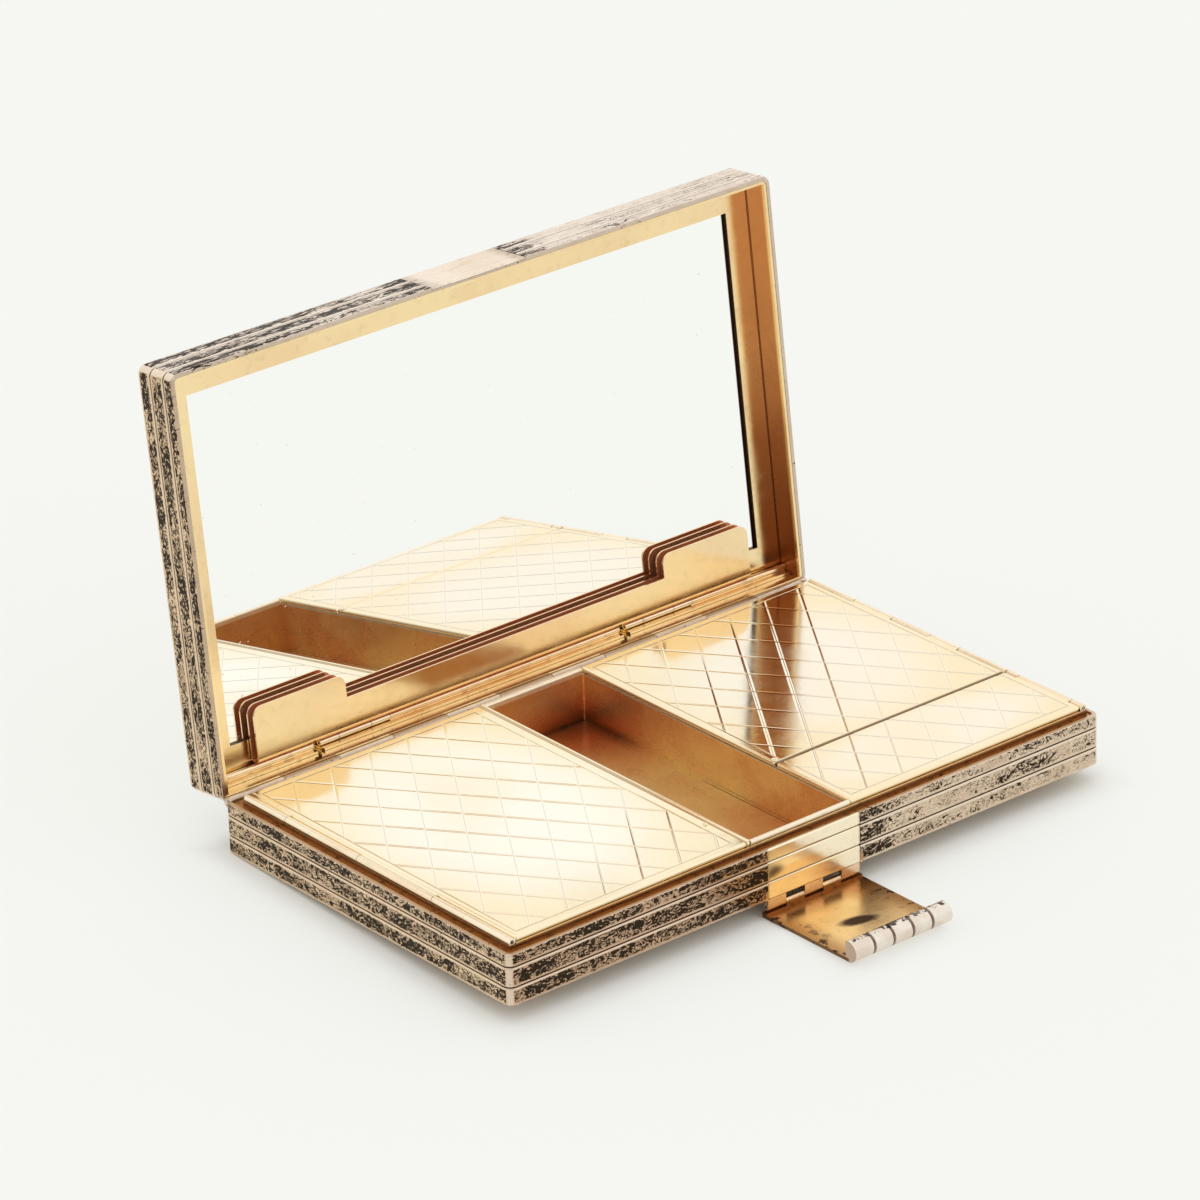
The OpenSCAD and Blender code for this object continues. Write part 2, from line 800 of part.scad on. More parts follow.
module latch_roll() {
    segment = latch_width / (roll_groove_count + 1);
    color(silver) translate([-latch_width / 2, roll_y, roll_z]) difference() {
        rotate([90, 0, 90]) linear_extrude(latch_width) roll_section();
        for (index = [1:roll_groove_count])
            translate([index * segment, 0, 0]) rotate([0, 90, 0]) rotate_extrude()
                translate([roll_radius + roll_groove_lift, 0]) circle(roll_groove_radius, $fn = 24);
    }
}

// Output

base_case();
base_catch_plate();
inner_frame();
left_compartment();
centre_well();
rear_compartment();
front_compartment();
base_hinge_knuckles();
main_hinge_pin();
left_frame_knuckles();
left_lid_pin();
right_frame_knuckles();
right_lid_pin();
latch_base_knuckles();
latch_pin();
lid_case();
lid_catch_plate();
mirror_frame();
mirror_glass();
mirror_backing();
lid_hinge_knuckles();
comb_bearer();
comb_fixed_knuckles();
comb_pins();
comb_holder();
comb_moving_knuckles();
left_lid();
left_lid_knuckles();
left_lid_pip();
rear_lid();
rear_lid_knuckles();
rear_lid_catch();
front_lid();
front_lid_knuckles();
latch_flap();
latch_flap_knuckles();
latch_roll();
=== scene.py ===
import bpy
import math
from mathutils import Matrix, Vector


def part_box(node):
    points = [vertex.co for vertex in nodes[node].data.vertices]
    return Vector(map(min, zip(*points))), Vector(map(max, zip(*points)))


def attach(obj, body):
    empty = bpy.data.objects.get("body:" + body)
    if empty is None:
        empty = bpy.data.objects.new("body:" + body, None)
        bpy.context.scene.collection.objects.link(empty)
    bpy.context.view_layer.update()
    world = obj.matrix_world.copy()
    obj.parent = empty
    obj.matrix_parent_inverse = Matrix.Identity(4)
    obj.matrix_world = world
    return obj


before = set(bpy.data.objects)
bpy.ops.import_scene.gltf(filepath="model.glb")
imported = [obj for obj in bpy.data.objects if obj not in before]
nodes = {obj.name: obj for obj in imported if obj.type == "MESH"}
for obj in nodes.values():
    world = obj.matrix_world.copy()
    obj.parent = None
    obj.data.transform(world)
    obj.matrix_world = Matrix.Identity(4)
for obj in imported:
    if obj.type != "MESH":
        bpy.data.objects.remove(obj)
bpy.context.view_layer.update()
mm = 0.001
print("frame loaded:", len(nodes), "nodes")

# the upper half's hinge line and open angle, in millimetres and degrees
hinge = {"y": 40.65, "z": 9.65, "openAngle": 96}

# camera at the photograph's own viewing angle, distances in millimetres
view = {"azimuth": -38.75, "elevation": 24.873, "distance": 1207.476, "roll": -1.957,
        "lens": 202.843, "sensor": 36, "target": (-14.907, -1.0, 46.679), "clip": (0.05, 30)}


def placeCamera():
    az = math.radians(view["azimuth"])
    el = math.radians(view["elevation"])
    back = Vector((math.sin(az) * math.cos(el), -math.cos(az) * math.cos(el), math.sin(el)))
    flatRight = (-back).cross(Vector((0, 0, 1))).normalized()
    flatUp = flatRight.cross(-back)
    roll = math.radians(view["roll"])
    right = math.cos(roll) * flatRight + math.sin(roll) * flatUp
    up = -math.sin(roll) * flatRight + math.cos(roll) * flatUp
    data = bpy.data.cameras.new("photoCamera")
    data.lens = view["lens"]
    data.sensor_width = view["sensor"]
    data.clip_start, data.clip_end = view["clip"]
    camera = bpy.data.objects.new("photoCamera", data)
    bpy.context.scene.collection.objects.link(camera)
    place = (Vector(view["target"]) + back * view["distance"]) * mm
    turn = Matrix((right, up, back)).transposed().to_4x4()
    camera.matrix_world = Matrix.Translation(place) @ turn
    bpy.context.scene.camera = camera


placeCamera()
print("camera placed")


# helpers that add nodes to a tree
def feed(tree, socket, value):
    if isinstance(value, bpy.types.NodeSocket):
        tree.links.new(value, socket)
    elif socket.type == "RGBA":
        socket.default_value = (*value, 1)
    else:
        socket.default_value = value


def addNode(tree, kind, inputs=None, **settings):
    node = tree.nodes.new(kind)
    for key, value in settings.items():
        setattr(node, key, value)
    for key, value in (inputs or {}).items():
        feed(tree, node.inputs[key], value)
    return node


def maths(tree, how, a, b=0.0, clamp=False):
    return addNode(tree, "ShaderNodeMath", {0: a, 1: b}, operation=how, use_clamp=clamp).outputs[0]


def add(tree, first, *others):
    for other in others:
        first = maths(tree, "ADD", first, other)
    return first


def less(tree, first, *others):
    for other in others:
        first = maths(tree, "SUBTRACT", first, other)
    return first


def times(tree, first, *others):
    for other in others:
        first = maths(tree, "MULTIPLY", first, other)
    return first


def most(tree, first, *others):
    for other in others:
        first = maths(tree, "MAXIMUM", first, other)
    return first


def least(tree, first, *others):
    for other in others:
        first = maths(tree, "MINIMUM", first, other)
    return first


def away(tree, value, centre=0.0):
    return maths(tree, "ABSOLUTE", less(tree, value, centre))


# soft step up from low to high, and its reverse down to nothing
def ramp(tree, value, low, high, outLow=0.0, outHigh=1.0):
    node = addNode(tree, "ShaderNodeMapRange",
                   {"Value": value, "From Min": low, "From Max": high,
                    "To Min": outLow, "To Max": outHigh}, interpolation_type="SMOOTHSTEP")
    return node.outputs["Result"]


def fall(tree, value, low, high, share=1.0):
    return ramp(tree, value, low, high, share, 0.0)


# places of the factor, the two colours and the result on a node that mixes colours
mixPlaces = {"factor": 0, "first": 6, "second": 7, "result": 2}


def mixColour(tree, factor, a, b):
    node = addNode(tree, "ShaderNodeMix", data_type="RGBA")
    for place, value in (("factor", factor), ("first", a), ("second", b)):
        feed(tree, node.inputs[mixPlaces[place]], value)
    return node.outputs[mixPlaces["result"]]


# values named Shape below are a noise's detail, roughness and distortion
def noise(tree, vector, scale, detail, rough, distortion=0.0):
    node = addNode(tree, "ShaderNodeTexNoise",
                   {"Vector": vector, "Scale": scale, "Detail": detail,
                    "Roughness": rough, "Distortion": distortion})
    return node.outputs[0]


def stretch(tree, vector, scale, turn=(0, 0, 0)):
    return addNode(tree, "ShaderNodeMapping",
                   {"Vector": vector, "Scale": scale, "Rotation": turn}).outputs[0]


def bumpy(tree, strength, depth, height, normal=None):
    inputs = {"Strength": strength, "Distance": depth * mm, "Height": height}
    if normal:
        inputs["Normal"] = normal
    return addNode(tree, "ShaderNodeBump", inputs).outputs[0]


def newGroup(name, inputs, outputs):
    group = bpy.data.node_groups.new(name, "ShaderNodeTree")
    for label, kind, value in inputs:
        socket = group.interface.new_socket(name=label, in_out="INPUT", socket_type=kind)
        if value is not None:
            socket.default_value = value
    for label in outputs:
        group.interface.new_socket(name=label, in_out="OUTPUT", socket_type="NodeSocketFloat")
    return group, group.nodes.new("NodeGroupInput").outputs, group.nodes.new("NodeGroupOutput")


def useGroup(tree, group, inputs):
    node = addNode(tree, "ShaderNodeGroup", node_tree=group)
    for key, value in inputs.items():
        feed(tree, node.inputs[key], value)
    return node.outputs


def newMaterial(name):
    material = bpy.data.materials.new(name)
    material.use_nodes = True
    tree = material.node_tree
    tree.nodes.clear()
    output = tree.nodes.new("ShaderNodeOutputMaterial")
    shader = tree.nodes.new("ShaderNodeBsdfPrincipled")
    tree.links.new(shader.outputs[0], output.inputs[0])
    return material, tree, shader


def finishMetal(tree, shader, colour, rough, metal=1.0, normal=None):
    for key, value in (("Base Color", colour), ("Metallic", metal), ("Roughness", rough)):
        feed(tree, shader.inputs[key], value)
    if normal:
        tree.links.new(normal, shader.inputs["Normal"])


# coordinates of the shut case, so a pattern on the upper half runs square to it
def shutPlace(tree, onLid):
    place = tree.nodes.new("ShaderNodeTexCoord").outputs["Object"]
    if onLid:
        angle = math.radians(hinge["openAngle"])
        pivot = Vector((0, hinge["y"], hinge["z"])) * mm
        shift = pivot - Matrix.Rotation(angle, 3, "X") @ pivot
        place = addNode(tree, "ShaderNodeMapping",
                        {"Vector": place, "Rotation": (angle, 0, 0), "Location": shift}).outputs[0]
    scaled = addNode(tree, "ShaderNodeVectorMath", {0: place, 1: (1 / mm, 1 / mm, 1 / mm)},
                     operation="MULTIPLY")
    parts = addNode(tree, "ShaderNodeSeparateXYZ", {0: scaled.outputs[0]}).outputs
    return place, parts["X"], parts["Y"], parts["Z"]


# tarnish: grains above a level of one noise, worm-like lines along the middle of another
blotches = {"usualAmount": 0.5, "usualScale": 700.0, "squash": (0.8, 0.8, 1.35),
            "grainShape": (2, 0.5, 2.2), "grainLevel": (0.72, 0.44), "grainEdge": 0.025,
            "grainHaze": (-0.13, 0.03), "wormShape": (3, 0.5, 2.6), "wormScale": 0.8,
            "wormFrom": (0.05, 0.85), "wormWidth": 0.05, "wormEdge": 0.016,
            "wormHaze": (-0.05, 0.02), "wideShape": (2, 0.5), "wideScale": 170.0, "wideShare": 1.1}


def makeTarnishGroup():
    group, given, made = newGroup(
        "tarnishBlotches",
        [("Vector", "NodeSocketVector", None),
         ("Amount", "NodeSocketFloat", blotches["usualAmount"]),
         ("Scale", "NodeSocketFloat", blotches["usualScale"])], ["Mask", "Haze"])
    vector = stretch(group, given["Vector"], blotches["squash"])
    grain = noise(group, vector, given["Scale"], *blotches["grainShape"])
    curl = noise(group, vector, times(group, given["Scale"], blotches["wormScale"]),
                 *blotches["wormShape"])
    wide = noise(group, vector, blotches["wideScale"], *blotches["wideShape"])
    amount = add(group, given["Amount"], times(group, less(group, wide, 0.5), blotches["wideShare"]))
    above = less(group, grain, ramp(group, amount, 0.0, 1.0, *blotches["grainLevel"]))
    width = ramp(group, amount, *blotches["wormFrom"], 0.0, blotches["wormWidth"])
    worm = less(group, width, away(group, curl, 0.5))
    mask = most(group, ramp(group, above, 0.0, blotches["grainEdge"]),
                ramp(group, worm, 0.0, blotches["wormEdge"]))
    haze = most(group, ramp(group, above, *blotches["grainHaze"]),
                ramp(group, worm, *blotches["wormHaze"]))
    group.links.new(mask, made.inputs["Mask"])
    group.links.new(haze, made.inputs["Haze"])
    return group


# smudges of handling and fine slanting scratches
handling = {"usualScale": 60.0, "smudgeShape": (4, 0.6, 1.5), "smudge": (0.35, 0.7),
            "scratchStretch": (1, 14, 1), "scratchTurn": (0, 0, 0.7), "scratchShape": (3, 0.7),
            "scratchScale": 420, "scratch": (0.6, 0.72)}


def makeSmudgeGroup():
    group, given, made = newGroup(
        "handlingSmudges",
        [("Vector", "NodeSocketVector", None),
         ("Scale", "NodeSocketFloat", handling["usualScale"])], ["Smudge", "Scratch"])
    soft = noise(group, given["Vector"], given["Scale"], *handling["smudgeShape"])
    slant = stretch(group, given["Vector"], handling["scratchStretch"], handling["scratchTurn"])
    lines = noise(group, slant, handling["scratchScale"], *handling["scratchShape"])
    group.links.new(ramp(group, soft, *handling["smudge"]), made.inputs["Smudge"])
    group.links.new(ramp(group, lines, *handling["scratch"]), made.inputs["Scratch"])
    return group


tarnishGroup = makeTarnishGroup()
smudgeGroup = makeSmudgeGroup()

# silver of the two outer halves: colours, shares of them, and how much tarnish lies where
silver = {"front": (0.79, 0.63, 0.47), "side": (0.82, 0.61, 0.40), "warm": (0.40, 0.26, 0.16),
          "upper": (0.90, 0.79, 0.68), "brown": (0.55, 0.30, 0.16), "tarnish": (0.030, 0.019, 0.010),
          # rubbedHighlight: pale colour of rubbed band edges and corners, brightened as a painted
          # highlight
          "groove": (0.12, 0.07, 0.04), "rubbedHighlight": (0.92, 0.82, 0.69),
          "brownShare": 0.62, "hazeShare": (0.1, 0.5), "smudgeShare": 0.2, "rimShare": 0.6,
          "edgeShare": 0.7, "grooveShare": 0.88, "tarnishShare": 0.98,
          "amount": 0.56, "nearCatch": 0.36, "leftHeavy": 0.19, "rightSparse": (0.1, 0.27),
          "insideSparse": 0.82, "rimSparse": 0.65, "edgeSparse": 0.9, "cornerSparse": 1.6,
          "blotchScale": 640.0, "lidStreak": (0.4, 1, 1), "smudgeScale": 90.0,
          "rough": 0.27, "tarnishRough": 0.45, "smudgeRough": 0.08, "bump": 0.3, "bumpDepth": 0.04}

# bands of the walls in millimetres, heights counted from the outer plate
bands = {"narrowShare": 0.24, "middleShare": 0.40, "groove": 0.14, "halfLength": 70,
         "halfDepth": 41, "wallDepth": 1.1, "wallFade": 0.15, "top": 20, "lowerHeight": 10,
         # trims, endShine, cornerShine and leftShine place painted highlights on the band edges, the
         # wall's top and bottom and the corners, weaker on the left wall
         "upperHeight": 9.9, "grooveFade": (0.06, 0.22), "trims": ((-0.32, 1.0), (0.3, 0.3)),
         "trimFade": (0.06, 0.2), "endShine": (0.9, 0.35), "endFade": (0.12, 0.4),
         "middleFade": (0.25, 0.8), "cornerFade": (-0.2, 0.3), "cornerShine": 0.75,
         "leftShine": 0.6, "rimFade": (0.16, 0.03), "leftWall": (-70.1, -68.0),
         "frontWall": (-40.0, -39.0), "besideCatch": (11.0, 20.0), "leftPart": (-40.0, 8.0),
         "rightPart": (10.0, 26.0), "brownPart": (-2.0, 12.0)}

# copper tone inside the latch's slots in the lower front wall
slots = {"halfWidth": (11.4, 11.7), "front": (-39.6, -39.2), "foot": (1.7, 1.9),
         "colour": (0.62, 0.32, 0.14)}


# dark line of each groove, rubbed edges with a painted highlight beside it and at the top and bottom of
# the wall, and the distance to the nearest edge
def bandLines(tree, high, total):
    dark, edge, nearest = 0.0, 0.0, away(tree, high)
    share = 1.0
    for step in (bands["narrowShare"], bands["middleShare"]):
        share -= step
        line = total * share - bands["groove"] / 2
        gap = away(tree, high, line)
        dark = most(tree, fall(tree, gap, *bands["grooveFade"]), dark)
        for side, shine in bands["trims"]:
            trim = fall(tree, away(tree, high, line + side), *bands["trimFade"], shine)
            edge = most(tree, trim, edge)
        nearest = least(tree, gap, nearest)
    for line, shine in zip((0.0, total), bands["endShine"]):
        edge = most(tree, fall(tree, away(tree, high, line), *bands["endFade"], shine), edge)
    return dark, edge, nearest


def makeSilver(name, onLid):
    material, tree, shader = newMaterial(name)
    place, x, y, z = shutPlace(tree, onLid)
    high = less(tree, bands["top"], z) if onLid else z
    total = bands["upperHeight"] if onLid else bands["lowerHeight"]
    absX = away(tree, x)
    overX = less(tree, absX, bands["halfLength"] - bands["wallDepth"])
    overY = less(tree, away(tree, y), bands["halfDepth"] - bands["wallDepth"])
    wall = ramp(tree, most(tree, overX, overY), 0.0, bands["wallFade"])
    # painted highlight on the wall corners, which are also rubbed and so less tarnished
    corner = ramp(tree, least(tree, overX, overY), *bands["cornerFade"], 0.0, bands["cornerShine"])
    onLeft = fall(tree, x, *bands["leftWall"])
    onFront = fall(tree, y, *bands["frontWall"])
    dark, edge, nearest = bandLines(tree, high, total)
    # painted highlight along the band edges, weaker on the left wall, and on the corners
    edge = times(tree, edge, ramp(tree, onLeft, 0.0, 1.0, 1.0, bands["leftShine"]), wall)
    edge = most(tree, edge, corner)
    rimFrom, rimTo = (total - gap for gap in bands["rimFade"])
    rim = ramp(tree, high, rimFrom, rimTo)

    besideCatch = times(tree, fall(tree, absX, *bands["besideCatch"]), onFront)
    bandEdge = times(tree, fall(tree, nearest, *bands["middleFade"]), wall)
    amount = add(tree, silver["amount"], times(tree, besideCatch, silver["nearCatch"]),
                 fall(tree, x, *bands["leftPart"], silver["leftHeavy"]))
    amount = less(tree, amount, ramp(tree, x, *bands["rightPart"], 0.0, silver["rightSparse"][onLid]),
                  times(tree, rim, silver["rimSparse"]),
                  times(tree, bandEdge, silver["edgeSparse"]),
                  times(tree, corner, silver["cornerSparse"]),
                  times(tree, less(tree, 1.0, wall), silver["insideSparse"]))
    streaks = stretch(tree, place, silver["lidStreak"]) if onLid else place
    tarnish = useGroup(tree, tarnishGroup, {"Vector": streaks, "Amount": amount,
                                            "Scale": silver["blotchScale"]})
    smudge = useGroup(tree, smudgeGroup, {"Vector": place, "Scale": silver["smudgeScale"]})["Smudge"]

    colour = mixColour(tree, onLeft, silver["upper" if onLid else "front"], silver["side"])
    if not onLid:
        brown = fall(tree, x, *bands["brownPart"], silver["brownShare"])
        colour = mixColour(tree, times(tree, brown, onFront, wall), colour, silver["brown"])
    haze = times(tree, tarnish["Haze"], ramp(tree, wall, 0.0, 1.0, *silver["hazeShare"]))
    worn = add(tree, haze, times(tree, smudge, silver["smudgeShare"]))
    for factor, tone in ((worn, "warm"), (times(tree, rim, wall, silver["rimShare"]), "warm"),
                         # rubbed edges lightened with a painted highlight
                         (times(tree, edge, silver["edgeShare"]), "rubbedHighlight"),
                         (times(tree, dark, wall, silver["grooveShare"]), "groove"),
                         (times(tree, tarnish["Mask"], silver["tarnishShare"]), "tarnish")):
        colour = mixColour(tree, factor, colour, silver[tone])
    if not onLid:
        slot = times(tree, fall(tree, absX, *slots["halfWidth"]), fall(tree, y, *slots["front"]),
                     fall(tree, z, *slots["foot"]))
        colour = mixColour(tree, slot, colour, slots["colour"])
    rough = add(tree, silver["rough"], times(tree, smudge, silver["smudgeRough"]),
                times(tree, tarnish["Mask"], silver["tarnishRough"] - silver["rough"]))
    normal = bumpy(tree, silver["bump"], silver["bumpDepth"], less(tree, 1.0, tarnish["Mask"]))
    finishMetal(tree, shader, colour, rough, normal=normal)
    return material


# gilding: colour, deeper worn colour and its share, roughness, soil in streaks; the deeper colour and
# the soil also carry painted shade and reflection where a material's places ask for it
giltLooks = {
    "plain": {"base": (0.97, 0.85, 0.65), "deep": (0.86, 0.58, 0.32), "share": 0.35,
              "rough": 0.14, "soil": 0.12},
    "lining": {"base": (0.98, 0.77, 0.44), "deep": (0.58, 0.17, 0.06), "share": 0.12,
               "rough": 0.12, "soil": 0.1},
    "bearer": {"base": (0.97, 0.79, 0.53), "deep": (0.80, 0.50, 0.24), "share": 0.4,
               "rough": 0.15, "soil": 0.25},
    "comb": {"base": (0.96, 0.76, 0.45), "deep": (0.72, 0.28, 0.12), "share": 0.2,
             "rough": 0.13, "soil": 0.08},
    "frame": {"base": (0.97, 0.82, 0.60), "deep": (0.66, 0.34, 0.12), "share": 0.2,
              "rough": 0.15, "soil": 0.15},
    "well": {"base": (0.87, 0.61, 0.27), "deep": (0.62, 0.18, 0.045), "share": 0.55,
             "rough": 0.22, "soil": 0.15},
    "catch": {"base": (1.0, 0.88, 0.66), "deep": (0.96, 0.72, 0.43), "share": 0.4,
              "rough": 0.1, "soil": 0.1},
    "catchUpper": {"base": (0.93, 0.79, 0.64), "deep": (0.76, 0.55, 0.37), "share": 0.4,
                   "rough": 0.14, "soil": 0.2},
    "knuckle": {"base": (0.93, 0.68, 0.44), "deep": (0.60, 0.34, 0.17), "share": 0.6,
                "rough": 0.2, "soil": 0.3},
    "flap": {"base": (0.98, 0.72, 0.36), "deep": (0.62, 0.31, 0.11), "share": 0.15,
             "rough": 0.2, "soil": 0.12, "dirt": (0.050, 0.020, 0.012)},
    "solder": {"base": (0.95, 0.72, 0.55), "deep": (0.80, 0.50, 0.33), "share": 0.2,
               "rough": 0.13, "soil": 0.08}}

# wear that all gilding shares
giltWear = {"soil": (0.10, 0.042, 0.016), "smudgeScale": 55.0, "smudgeRough": 0.1,
            "wideScale": 38, "wideShape": (4, 0.55, 0.8), "worn": (0.38, 0.7),
            "streakStretch": (1, 1, 3), "streakScale": 480, "streakShape": (4, 0.65),
            "streak": (0.52, 0.72), "soilRough": 0.3, "bump": 0.12, "bumpDepth": 0.03}


def makeGilt(name, lookName, onLid=False, soilAndShadePlaces=None, deepAndPaintedLightPlaces=None, palePlaces=None,
             metal=1.0):
    look = giltLooks[lookName]
    material, tree, shader = newMaterial(name)
    place, x, y, z = shutPlace(tree, onLid)
    smudge = useGroup(tree, smudgeGroup, {"Vector": place, "Scale": giltWear["smudgeScale"]})
    wide = noise(tree, place, giltWear["wideScale"], *giltWear["wideShape"])
    worn = ramp(tree, wide, *giltWear["worn"], 0.0, look["share"])
    # for some materials this adds painted shade and painted reflection in the deeper colour
    if deepAndPaintedLightPlaces:
        worn = most(tree, worn, deepAndPaintedLightPlaces(tree, x, y, z))
    colour = mixColour(tree, worn, look["base"], look["deep"])
    streaky = noise(tree, stretch(tree, place, giltWear["streakStretch"]), giltWear["streakScale"],
                    *giltWear["streakShape"])
    streak = ramp(tree, streaky, *giltWear["streak"])
    soil = times(tree, streak, look["soil"])
    # for some materials this adds painted shade as well as soil
    if soilAndShadePlaces:
        soil = most(tree, soil, soilAndShadePlaces(tree, x, y, z, streak))
    if palePlaces:
        colour = mixColour(tree, palePlaces(tree, x, y, z), colour, giltLooks["plain"]["base"])
    colour = mixColour(tree, soil, colour, look.get("dirt", giltWear["soil"]))
    rough = add(tree, look["rough"], times(tree, smudge["Smudge"], giltWear["smudgeRough"]),
                times(tree, soil, giltWear["soilRough"]))
    normal = bumpy(tree, giltWear["bump"], giltWear["bumpDepth"], add(tree, smudge["Scratch"], wide))
    if callable(metal):
        metal = metal(tree, x, y, z)
    finishMetal(tree, shader, colour, rough, metal, normal)
    return material


# soil and deeper gold on the ledge and the outer walls of the inner frame
ledge = {"soilHeight": (10.55, 10.92), "soil": 0.36, "streaks": 0.55, "deepHeight": (10.7, 10.94),
         "deep": 0.95}


def ledgeSoil(tree, x, y, z, streak):
    low = fall(tree, z, *ledge["soilHeight"])
    return times(tree, low, add(tree, ledge["soil"], times(tree, streak, ledge["streaks"])))


def ledgeDeep(tree, x, y, z):
    return fall(tree, z, *ledge["deepHeight"], ledge["deep"])


# lining of the upper half: painted shade on the edge of the mirror's opening, dark joint line, painted
# shade darkening and reddening the inner walls
lining = {"opening": (15.72, 15.8), "openingShadeShare": 0.9, "innerWall": (68.3, 68.45),
          "joint": 15.5, "jointFade": (0.05, 0.22), "jointShare": 0.85, "rim": (10.4, 11.2),
          # soil here is the share of painted shade on the inner walls; deepLength and deep set their
          # deeper painted shade colour
          "length": (-38.0, 38.0), "soil": (0.12, 0.5), "deepLength": (-10.0, 38.0),
          "deep": (0.72, 1.0)}


def liningShadeAndJoint(tree, x, y, z, streak):
    side = ramp(tree, away(tree, x), *lining["innerWall"])
    joint = fall(tree, away(tree, z, lining["joint"]), *lining["jointFade"], lining["jointShare"])
    # painted shade on the inner side walls, deeper into the lid and stronger towards the hinge
    shade = times(tree, side, ramp(tree, z, *lining["rim"]),
                  ramp(tree, y, *lining["length"], *lining["soil"]))
    # painted shade on the edge of the mirror's opening
    opening = ramp(tree, z, *lining["opening"], 0.0, lining["openingShadeShare"])
    return most(tree, opening, times(tree, side, joint), shade)


def liningWallShade(tree, x, y, z):
    # painted shade: deeper red-brown on the inner side walls above the rim, stronger towards the hinge
    side = ramp(tree, away(tree, x), *lining["innerWall"])
    inner = maths(tree, "SUBTRACT", side, fall(tree, z, *lining["rim"]), clamp=True)
    return times(tree, inner, ramp(tree, y, *lining["deepLength"], *lining["deep"]))


# painted shade: deeper red-brown, duller metal inside the comb holder and on its side towards the mirror
comb = {"inside": (13.55, 15.15), "behind": 15.45, "fade": 0.03, "metal": 0.5}


def combInsideShade(tree, x, y, z):
    low, high = comb["inside"]
    # painted shade inside the holder and on its side towards the mirror
    inner = times(tree, ramp(tree, z, low - comb["fade"], low), fall(tree, z, high, high + comb["fade"]))
    return most(tree, inner, ramp(tree, z, comb["behind"] - comb["fade"], comb["behind"]))


def combMetalShare(tree, x, y, z):
    return ramp(tree, combInsideShade(tree, x, y, z), 0.0, 1.0, 1.0, comb["metal"])


# well: painted shade, patchy like smudges, along the foot of the back wall and the right wall's back
# end, a painted shade line in the corner, seam at the right, red-brown towards the back, pale upper
# lips; its gilding is worn through, so it shines less than the rest
well = {"metal": 0.75, "foot": (1.3, 4.5), "footBack": (28.0, 35.5), "footAcross": (-3.0, 8.0),
        "footShare": (0.4, 1.0), "rightFoot": (1.3, 3.2), "rightWall": (6.5, 10.0),
        "rightBack": (16.0, 30.0), "floor": 1.3, "backWall": 36.15, "line": (0.1, 1.9),
        # smudge and streaks set the strength of the painted shade at the wall feet and in the corner
        "lineShare": 1.2, "lineAcross": (-9.0, 5.0), "lineEnds": (0.15, 1.0), "smudge": 0.65,
        "streaks": 0.3, "seam": 9.95, "seamFade": (0.06, 0.2), "seamHeight": (1.28, 1.34),
        "seamFront": (-2.0, 4.0), "seamShare": 0.75, "deepBack": (6.0, 34.0),
        "deepHeight": (1.3, 9.0), "deepTop": 0.35, "deepAcross": (-13.0, 6.0), "deepLeft": 0.5,
        "deepFront": (-31.0, -38.0), "deepFrontShare": 0.4, "lips": (10.6, 10.85)}


def wellFootShadeAndSeam(tree, x, y, z, streak):
    # painted shade along the wall feet and in the back corner, made patchy by streaks
    back = times(tree, fall(tree, z, *well["foot"]), ramp(tree, y, *well["footBack"]),
                 ramp(tree, x, *well["footAcross"], *well["footShare"]))
    right = times(tree, fall(tree, z, *well["rightFoot"]), ramp(tree, x, *well["rightWall"]),
                  ramp(tree, y, *well["rightBack"]))
    corner = most(tree, less(tree, z, well["floor"]), less(tree, well["backWall"], y))
    line = times(tree, fall(tree, corner, *well["line"], well["lineShare"]),
                 ramp(tree, x, *well["lineAcross"], *well["lineEnds"]))
    seam = times(tree, fall(tree, away(tree, x, well["seam"]), *well["seamFade"]),
                 fall(tree, z, *well["seamHeight"]), fall(tree, y, *well["seamFront"]))
    strength = add(tree, well["smudge"], times(tree, streak, well["streaks"]))
    return most(tree, times(tree, most(tree, back, right, line), strength),
                times(tree, seam, well["seamShare"]))


def wellDeep(tree, x, y, z):
    back = times(tree, ramp(tree, y, *well["deepBack"]),
                 ramp(tree, z, *well["deepHeight"], 1.0, well["deepTop"]),
                 ramp(tree, x, *well["deepAcross"], well["deepLeft"], 1.0))
    return most(tree, back, ramp(tree, y, *well["deepFront"], 0.0, well["deepFrontShare"]))


def wellPale(tree, x, y, z):
    return ramp(tree, z, *well["lips"])


# gilt panel over the latch: deeper orange painted reflection on the lower band, fading to the right, and
# on the left of the middle band, lines in the grooves, soiled ends
catch = {"lowBand": (3.3, 3.45), "lowAcross": (2.0, 9.0), "lowRight": 0.1, "middleFrom": (3.6, 3.65),
         "middleTo": (5.2, 5.9), "middleAcross": (-2.0, 5.0), "ends": (10.35, 10.85),
         "endSoil": 0.35, "endStreaks": 0.5, "grooves": (7.53, 3.53), "grooveFade": (0.05, 0.16),
         "grooveSoil": 0.6, "upperEnds": (7.5, 10.9), "upperSoil": 0.3, "upperStreaks": 0.6}


def catchPaintedReflection(tree, x, y, z):
    # painted reflection on the lower band and on the left of the middle band
    low = times(tree, fall(tree, z, *catch["lowBand"]),
                ramp(tree, x, *catch["lowAcross"], 1.0, catch["lowRight"]))
    middle = times(tree, ramp(tree, z, *catch["middleFrom"]), fall(tree, z, *catch["middleTo"]),
                   fall(tree, x, *catch["middleAcross"]))
    return most(tree, low, middle)


def catchSoil(tree, x, y, z, streak):
    soil = add(tree, catch["endSoil"], times(tree, streak, catch["endStreaks"]))
    soil = times(tree, ramp(tree, away(tree, x), *catch["ends"]), soil)
    for line in catch["grooves"]:
        groove = fall(tree, away(tree, z, line), *catch["grooveFade"], catch["grooveSoil"])
        soil = most(tree, soil, groove)
    return soil


